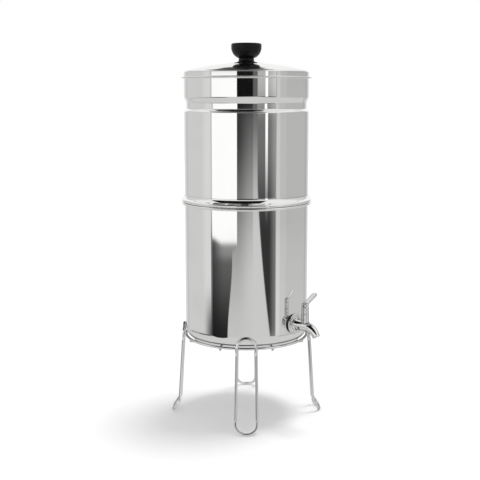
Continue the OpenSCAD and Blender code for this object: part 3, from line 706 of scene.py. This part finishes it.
def buildCandles(s):
    low, high = (corner.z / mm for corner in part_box("filter_candles"))
    r, bend, foot = s["radius"], s["bend"], s["foot"]
    outline = [(0.0, low), (r - foot - 0.2, low)] + arc((r - foot, low + foot), foot, -90, 0, 4) + [(r, low + 2 * foot)]
    outline += arc((r - bend, high - bend), bend, 0, 90, 16) + [(0.0, high)]
    form = turned(outline, 96)
    both = joined(shifted(form, s["pitch"]), shifted(form, -s["pitch"]))
    makePiece("candleShells", *both, "candleCeramic", "candle_ceramic", "upper", ["filter_candles"])


# CAD nodes that keep their own shape get a procedural finish
nodeFinishes = {
    "tap_outer_washer": "sealRubber", "tap_inner_washer": "sealRubber", "tap_nut": "tapSteel",
    "tap_plug": "screwSteel", "tap_plug_seals": "sealRubber", "tap_handle_screw": "screwSteel",
    "filter_caps": "whitePlastic", "filter_stems": "whitePlastic", "filter_washers": "sealRubber",
    "filter_wing_nuts": "whitePlastic", "blanking_plugs": "whitePlastic", "blanking_washers": "sealRubber",
    "blanking_nuts": "whitePlastic", "knob_washer": "sealRubber", "knob_screw": "screwSteel",
}


def finishNodes():
    for name, finish in nodeFinishes.items():
        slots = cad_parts[name].data.materials
        for i in range(len(slots)):
            slots[i] = materials[finish]


buildCandles(candleSizes)
finishNodes()
print("inside built")

# Camera: where it stands, how far it looks down, and its shift off the middle, all from the photograph's perspective
cameraSizes = {
    "distance": 1579.0, "height": 580.0, "pitch": 7.23, "lens": 66.0, "sensor": 36.0,
    "shiftX": -0.0133, "shiftY": -0.071,
}


def buildCamera(s):
    data = bpy.data.cameras.new("camera")
    data.lens = s["lens"]
    data.sensor_width = s["sensor"]
    data.shift_x = s["shiftX"]
    data.shift_y = s["shiftY"]
    camera = bpy.data.objects.new("camera", data)
    camera.location = (0.0, -s["distance"] * mm, s["height"] * mm)
    camera.rotation_euler = (math.radians(90.0 - s["pitch"]), 0.0, 0.0)
    bpy.context.scene.collection.objects.link(camera)
    bpy.context.scene.camera = camera


buildCamera(cameraSizes)


# Floor: pale, catches the stand's soft shadow, and isn't mirrored in the metal. half is in metres
floorSizes = {"half": 6.0, "darker": 0.93, "paler": 0.95, "rough": 0.9}


def buildFloor(s):
    mesh = bpy.data.meshes.new("floor")
    half, darker, paler = s["half"], s["darker"], s["paler"]
    mesh.from_pydata([(-half, -half, 0), (half, -half, 0), (half, half, 0), (-half, half, 0)], [], [(0, 1, 2, 3)])
    floor = bpy.data.objects.new("floor", mesh)
    material, g = newMaterial("paleFloor")
    cloud = g.noise(g.place(), 3.0, 2.0)
    finishMaterial(g, {
        "Base Color": g.mix(cloud, (darker, darker, darker, 1.0), (paler, paler, paler, 1.0)),
        "Roughness": s["rough"],
        "Specular IOR Level": 0.0,
    })
    mesh.materials.append(material)
    floor.visible_glossy = False
    bpy.context.scene.collection.objects.link(floor)


buildFloor(floorSizes)

# Studio seen in the metal, by the direction of the mirrored ray. turn is in degrees round from the front towards +X,
# and down in degrees below the horizon. The greys here are as a screen shows them, from 0 to 255. soft is the even
# light that falls on everything that isn't a mirror
studioSizes = {
    "soft": 0.8, "side": 207, "rightSide": 184,
    "white": 262, "whiteFrom": -65.7, "whiteTo": -17.0, "whiteEnd": 9.27,
    "front": 26, "frontTo": 11.0, "wedgeFrom": 20.0, "wedgeTo": 56.0, "slit": 37.0,
    "floorStart": 17.0, "ceiling": 240, "ceilingSide": 210, "ceilingDark": 25,
}


def linear(grey):
    return (grey / 255.0) ** 2.2


def blend(under, value, amount):
    return under * (1.0 - amount) + value * amount


# Left and right walls, the window on the left and the dark room in front
def wallLevel(g, s, turn, down):
    side = linear(s["side"])
    # pale walls to the left and right, each with faint upright bands
    left = side + 0.08 * g.ramp(turn, -92.0, -78.0) - 0.6 * g.ramp(turn, -90.0, -68.0) * g.ramp(down, 12.0, 15.5)
    right = linear(s["rightSide"]) + 0.07 * g.ramp(down, 7.0, 13.0)
    right = right + 0.13 * g.band(turn, 55.5, 64.0, 3.0) + 0.04 * g.band(turn, 64.0, 78.0, 5.0)
    level = blend(left, right, g.ramp(turn, -20.0, 20.0))
    # thin dark edge of the window
    edge = 0.85 * g.band(turn, s["whiteFrom"] - 2.7, s["whiteFrom"], 1.0) * (0.3 + 0.7 * g.ramp(down, 7.0, 10.0))
    level = blend(level, 0.04, edge)
    # window, dark below its sill, which slopes a little
    fade = 1.0 - g.ramp(down, 10.3, 15.8)
    near = 0.013 + 0.04 * fade
    far = 0.02 + 0.10 * fade + 0.14 * (1.0 - g.ramp(down, 10.2, 11.0))
    below = blend(near, far, g.ramp(turn, -68.0, -38.0))
    sillLine = down - s["whiteEnd"] - 0.35 * g.ramp(turn, -66.0, -44.0)
    window = blend(linear(s["white"]), below, g.ramp(sillLine, -0.15, 0.25))
    level = blend(level, window, g.band(turn, s["whiteFrom"], s["whiteTo"], 0.7))
    # the dark room in front, paler towards the floor
    dimLeft = 0.035 + 0.55 * g.ramp(down, 2.0, 16.5)
    dimRight = 0.09 + 0.52 * g.ramp(down, 0.0, 13.0)
    dim = blend(dimLeft, dimRight, g.ramp(turn, -18.0, s["frontTo"]))
    dim = blend(linear(s["front"]), dim, g.ramp(down, 0.3, 1.6))
    start = s["whiteTo"] - 9.0 * g.ramp(down, 9.9, 10.3) - 9.0 * g.ramp(down, 10.8, 15.8)
    level = blend(level, dim, g.ramp(turn - start, -0.4, 0.4) * (1.0 - g.ramp(turn, 30.0, 34.0)))
    pale = 0.12 + 0.5 * g.ramp(down, 0.0, 9.0)
    return blend(level, pale, g.band(turn, s["frontTo"] + 1.0, s["wedgeTo"], 3.0))


# A dark wedge that leans to the right towards the floor, with a bright slit in it
def wedgeLevel(g, s, level, turn, down):
    past = g.math("MAXIMUM", down - 5.9, 0.0)
    start = s["wedgeFrom"] + 1.1 * past + 0.145 * past * past
    dark = 0.035 + 0.32 * (1.0 - g.ramp(down, -1.0, 2.0)) + 0.13 * (1.0 - g.ramp(down, 3.0, 9.0))
    dark = dark + 0.16 * g.ramp(turn, 41.0, 56.0)
    inside = g.ramp(turn - start, -0.9, 1.3) * (1.0 - g.ramp(turn, s["wedgeTo"] - 1.6, s["wedgeTo"] + 0.6))
    level = blend(level, dark, inside)
    slit = g.band(turn, s["slit"] - 2.4, s["slit"] + 2.2, 1.5) * (1.0 - g.ramp(down, 1.0, 8.7))
    return blend(level, 1.2, slit)


# A pale floor with a dark skirting, and a pale ceiling with a cornice and a dark opening towards the front
def floorAndCeilingLevel(g, s, level, turn, down):
    around = g.math("ABSOLUTE", turn)
    floor = down - s["floorStart"] - 5.5 * g.band(turn, -63.0, -38.0, 16.0) + 1.0 * g.ramp(turn, 20.0, 50.0)
    level = blend(level, linear(s["side"]), g.ramp(floor, -1.0, 1.5))
    skirting = 0.5 * g.band(turn, -130.0, -68.0, 10.0) + 0.4 * g.band(turn, -100.0, -68.0, 14.0)
    skirting = skirting + 0.3 * g.band(turn, 62.0, 125.0, 10.0)
    level = blend(level, 0.04, skirting * g.band(down, 16.8, 20.6, 1.5))
    toSide = g.ramp(around, 62.0, 80.0) * (1.0 - g.ramp(-down, 24.0, 34.0))
    ceiling = blend(linear(s["ceiling"]), linear(s["ceilingSide"]), toSide)
    level = blend(level, ceiling, g.ramp(-down, 6.0, 14.0))
    cornice = 0.3 + 0.55 * g.band(turn, -70.0, -17.0, 4.0) + 0.3 * g.ramp(turn, 60.0, 90.0)
    cornice = cornice * g.band(-down, 1.8, 5.0, 1.4) * (1.0 - g.ramp(around, 130.0, 138.0))
    level = blend(level, 0.1, cornice)
    opening = g.band(-down, 20.0, 95.0, 8.0) * g.band(turn, -72.0, 40.0, 10.0)
    return blend(level, linear(s["ceilingDark"]), opening)


# White wall behind: all of it above eye level, and straight behind also lower down, with a faint dark edge
def backLevel(g, level, turn, down):
    around = g.math("ABSOLUTE", turn)
    level = level * (1.0 - 0.12 * g.band(around, 137.0, 145.0, 4.0))
    level = blend(level, 1.05, g.ramp(around, 138.0, 160.0) * g.ramp(-down, 1.5, 5.0))
    return blend(level, 0.93, g.ramp(around, 142.0, 176.0) * (1.0 - g.ramp(down, 19.0, 24.0)))


# Dark ceiling behind and to the left, which the lid's front edge mirrors
def beamLevel(g, level, x, z, turn, down):
    reach = z * z * z
    beam = g.band(-down, 22.0, 95.0, 3.0) * g.ramp(g.math("ABSOLUTE", turn), 85.0, 95.0)
    beam = beam * (1.0 - g.ramp(x - 0.46 * reach, 0.0, 0.03)) * (1.0 - g.ramp(-x - 0.95 * reach, 0.0, 0.04))
    return blend(level, 0.03, 0.95 * beam)


def buildWorld(s):
    world = bpy.data.worlds.new("studio")
    bpy.context.scene.world = world
    world.use_nodes = True
    g = Graph(world.node_tree)
    source = g.node("ShaderNodeTexCoord")
    parts = g.node("ShaderNodeSeparateXYZ", None, {"Vector": Value(g, source.outputs["Generated"])})
    x, y, z = (Value(g, parts.outputs[i]) for i in range(3))
    turn = g.math("ARCTAN2", x, -y) * (180 / math.pi)
    down = g.math("ARCSINE", z) * (-180 / math.pi)
    level = wallLevel(g, s, turn, down)
    level = wedgeLevel(g, s, level, turn, down)
    level = floorAndCeilingLevel(g, s, level, turn, down)
    level = backLevel(g, level, turn, down)
    level = beamLevel(g, level, x, z, turn, down)
    # the background is white, mirrors show the studio, and everything else gets the soft light
    path = g.node("ShaderNodeLightPath")
    mirrored = Value(g, path.outputs["Is Glossy Ray"])
    seen = Value(g, path.outputs["Is Camera Ray"])
    colour = g.mix(seen, g.mix(mirrored, s["soft"], level), 1.0)
    studio = g.node("ShaderNodeBackground", None, {"Color": colour, "Strength": 1.0})
    g.node("ShaderNodeOutputWorld", None, {"Surface": studio})


buildWorld(studioSizes)

# Lamp: one broad soft light from above, a little to the right, that the metal doesn't mirror
lampSizes = {"towards": (0.18, 0.13, 1.0), "spread": 17.0, "strength": 1.25}


def buildLamp(s):
    data = bpy.data.lights.new("softLight", "SUN")
    data.angle = math.radians(s["spread"])
    data.energy = s["strength"]
    lamp = bpy.data.objects.new("softLight", data)
    lamp.rotation_euler = (-Vector(s["towards"])).to_track_quat("-Z", "Y").to_euler()
    lamp.visible_glossy = False
    bpy.context.scene.collection.objects.link(lamp)


buildLamp(lampSizes)
bpy.context.scene.view_settings.view_transform = "Standard"
print("camera, floor, studio and lamp set")
